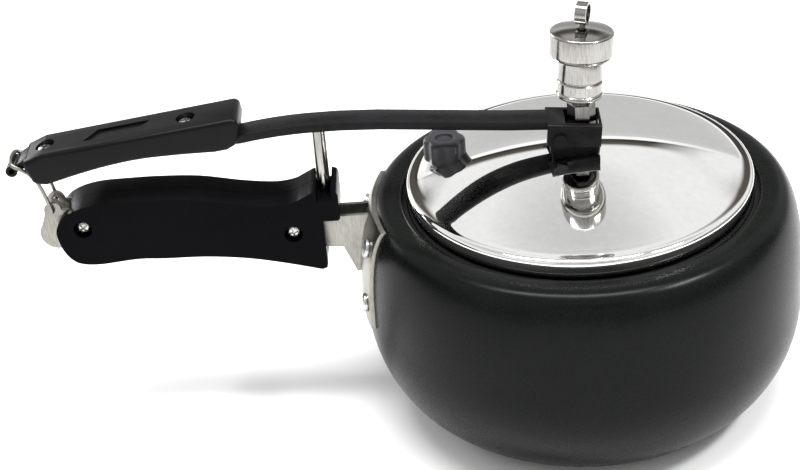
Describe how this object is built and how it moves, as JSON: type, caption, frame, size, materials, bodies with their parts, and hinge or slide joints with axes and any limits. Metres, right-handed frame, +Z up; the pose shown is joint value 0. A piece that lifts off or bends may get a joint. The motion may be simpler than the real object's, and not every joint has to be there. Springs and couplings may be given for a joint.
{
  "type": "stovetop pressure cooker",
  "caption": "Inner-lid pressure cooker: round-bellied pot with a long side handle, and a ridged lid hung from a lever that a wire loop holds shut.",
  "frame": {"origin": "centre of the underside of the base, on the surface that the cooker stands on", "axes": "+Z up, -X towards the two handles, +Y to the far side of the cooker"},
  "size_m": [0.3753, 0.212, 0.2038],
  "materials": {
    "anodised": "satin hard-anodised black",
    "mirror_steel": "mirror polished",
    "satin_steel": "satin",
    "black_steel": "semi-gloss black",
    "bakelite": "glossy",
    "grip_bakelite": "fine satin grain",
    "rubber": "matt",
    "valve_rubber": "satin",
    "chrome": "polished",
    "zinc_screw": "bright",
    "brass": "turned",
    "tin_alloy": "cast"
  },
  "bodies": {
    "pot": {"pot_body": "anodised", "pot_bracket": "satin_steel", "bracket_rivets": "zinc_screw", "body_handle_near": "bakelite", "body_handle_far": "bakelite", "body_handle_screws": "zinc_screw", "body_handle_nuts": "zinc_screw", "latch_bracket": "satin_steel"},
    "latch": {"latch_loop": "satin_steel"},
    "lever": {"lever_bar": "black_steel", "support_post": "chrome", "lid_grip": "grip_bakelite", "grip_screws": "zinc_screw", "lid_pin": "black_steel", "split_pin": "satin_steel"},
    "lid": {"lid_shell": "mirror_steel", "sealing_ring": "rubber", "lid_lug": "black_steel", "vent_tube": "chrome", "vent_washer": "satin_steel", "vent_nut": "brass", "safety_valve_body": "brass", "safety_valve_cap": "valve_rubber", "safety_valve_nut": "brass", "fusible_plug": "tin_alloy"},
    "weight": {"weight_body": "chrome", "weight_sleeve": "chrome", "weight_needle": "brass", "lifting_ring": "chrome"}
  },
  "joints": [
    {"name": "latch_swing", "type": "hinge", "parent": "pot", "child": "latch", "pos_m": [-0.2508, 0, 0.121], "axis": [0, -1, 0], "range_deg": [0, 120]},
    {"name": "lever_tilt", "type": "hinge", "parent": "pot", "child": "lever", "pos_m": [-0.1213, 0, 0.12265], "axis": [0, 1, 0], "range_deg": [0, 6]},
    {"name": "lid_rock", "type": "hinge", "parent": "lever", "child": "lid", "pos_m": [-0.009, 0, 0.1412], "axis": [0, -1, 0], "range_deg": [0, 6]},
    {"name": "weight_lift", "type": "slide", "parent": "lid", "child": "weight", "axis": [0, 0, 1], "range_m": [0, 0.05]}
  ],
  "couplings": [
    {"joint": "lid_rock", "follows": "lever_tilt", "ratio": 1},
    {"joint": "latch_swing", "follows": "lever_tilt", "ratio": 20}
  ]
}
